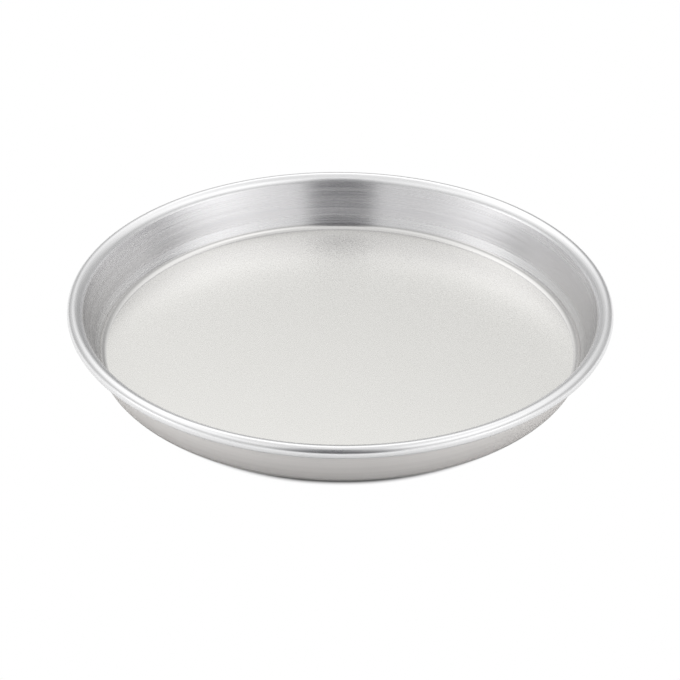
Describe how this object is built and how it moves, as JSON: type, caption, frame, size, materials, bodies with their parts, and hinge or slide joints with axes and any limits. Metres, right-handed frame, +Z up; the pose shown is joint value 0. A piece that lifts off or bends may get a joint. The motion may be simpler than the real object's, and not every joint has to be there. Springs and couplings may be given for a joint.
{
  "type": "deep dish pan",
  "caption": "Round deep dish baking pan in bare spun aluminium: flat floor, rounded corner, tapered wall and an outward rolled rim curled over a wire.",
  "frame": {"origin": "centre of the flat underside, on the surface that the pan stands on", "axes": "+Z up along the pan's axis of revolution; X and Y lie in the underside and are alike by symmetry"},
  "size_m": [0.3734, 0.3734, 0.0397],
  "materials": {
    "spun_aluminium": "bare metal: dull mill finish on the floor, fine spinning lines round the wall, smoother bead",
    "wire_steel": "drawn wire, closed in by the rim"
  },
  "bodies": {
    "root": {"spun_shell": "spun_aluminium", "rim_wire": "wire_steel"}
  },
  "joints": []
}
